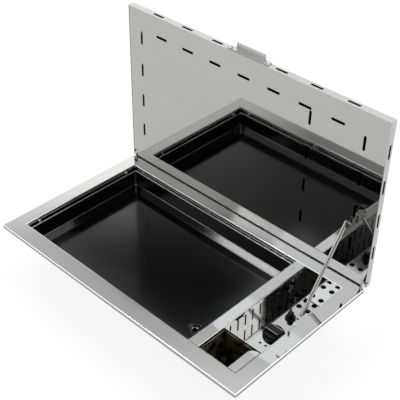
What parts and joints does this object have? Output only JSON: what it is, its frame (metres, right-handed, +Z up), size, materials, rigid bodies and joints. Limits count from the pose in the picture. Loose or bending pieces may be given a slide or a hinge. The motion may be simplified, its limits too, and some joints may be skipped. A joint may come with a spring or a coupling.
{
  "type": "built-in electric plancha",
  "caption": "Built-in electric plancha with a black hotplate pan, a mirror control well with knob and push button, a grease cup and a flat lid held open by a stay rod",
  "frame": {"origin": "middle of the flange in plan, on the bottom face of the base cover", "axes": "+X along the long side to the user's right, +Y to the back where the lid is hinged, +Z up"},
  "size_m": [0.624, 0.3665, 0.4695],
  "materials": {
    "brushed_flange": "satin brushed stainless steel",
    "mirror_steel": "mirror polished stainless steel",
    "enamel_black": "glossy black enamel",
    "plated_steel": "zinc plated steel",
    "dark_steel": "dark oxidised steel",
    "chrome_bright": "bright chrome",
    "black_plastic": "matte black plastic",
    "white_print": "white inlay",
    "grey_rubber": "soft black strip",
    "mineral_wool": "pressed mineral fibre",
    "light_plastic": "pale heat-proof plastic",
    "copper_brass": "plain brass",
    "wire_red": "silicone wire sleeve"
  },
  "bodies": {
    "root": {"top_frame": "brushed_flange", "divider_bar": "brushed_flange", "flange_gasket": "grey_rubber", "lip_rivets": "plated_steel", "hotplate_pan": "enamel_black", "hotplate_hangers": "plated_steel", "drain_spout": "enamel_black", "drain_nut": "plated_steel", "grease_chute": "plated_steel", "grease_cup": "dark_steel", "grease_cup_handle": "brushed_flange", "cup_support": "plated_steel", "control_well": "mirror_steel", "heat_shield": "plated_steel", "heating_element": "dark_steel", "element_bushes": "light_plastic", "element_clamps": "plated_steel", "clamp_studs": "plated_steel", "clamp_nuts": "plated_steel", "heat_reflector": "mirror_steel", "reflector_posts": "plated_steel", "insulation_pad": "mineral_wool", "casing_sides": "plated_steel", "casing_front": "plated_steel", "casing_back": "plated_steel", "base_cover": "plated_steel", "base_screws": "plated_steel", "hold_down_brackets": "plated_steel", "hold_down_screws": "plated_steel", "thermostat_body": "light_plastic", "thermostat_bush": "plated_steel", "thermostat_bulb": "copper_brass", "bulb_clip": "plated_steel", "capillary_tube": "copper_brass", "switch_body": "black_plastic", "switch_collar": "black_plastic", "button_spring": "plated_steel", "terminal_block": "light_plastic", "terminal_screws": "copper_brass", "internal_wires": "wire_red", "cable_gland": "black_plastic", "gland_nut": "black_plastic", "hinge_rail": "plated_steel", "hinge_pins": "plated_steel", "lug_screws": "plated_steel", "stay_track": "plated_steel"},
    "lid": {"lid_outer_skin": "brushed_flange", "lid_inner_liner": "mirror_steel", "lid_stiffeners": "plated_steel", "lid_handle": "brushed_flange", "lid_handle_screws": "plated_steel", "lid_rivets": "plated_steel", "stay_bracket": "dark_steel"},
    "stay_slider": {"stay_shoe": "black_plastic", "stay_pivot_pin": "plated_steel"},
    "stay": {"stay_rod": "chrome_bright"},
    "knob": {"control_knob": "black_plastic", "knob_inlays": "white_print", "control_shaft": "plated_steel"},
    "button": {"push_button": "black_plastic"}
  },
  "joints": [
    {"name": "lid_hinge", "type": "hinge", "parent": "root", "child": "lid", "pos_m": [0, 0.182, 0.109], "axis": [1, 0, 0], "range_deg": [0, 90]},
    {"name": "stay_slide", "type": "slide", "parent": "root", "child": "stay_slider", "axis": [0, 1, 0], "range_m": [0, 0.0951]},
    {"name": "stay_fold", "type": "hinge", "parent": "stay_slider", "child": "stay", "pos_m": [0.264, 0.0496, 0.084], "axis": [1, 0, 0], "range_deg": [0, 125.5]},
    {"name": "knob_turn", "type": "hinge", "parent": "root", "child": "knob", "pos_m": [0.2412, 0.0051, 0.07], "axis": [0, 0, -1], "range_deg": [0, 270]},
    {"name": "button_press", "type": "slide", "parent": "root", "child": "button", "axis": [0, 0, -1], "range_m": [0, 0.004], "stiffness_N_per_m": 400, "springref_m": -0.001}
  ],
  "couplings": [
    {"joint": "stay_slide", "follows": "lid_hinge", "m_per_rad": 0.060479},
    {"joint": "stay_fold", "follows": "lid_hinge", "ratio": 1.394}
  ]
}
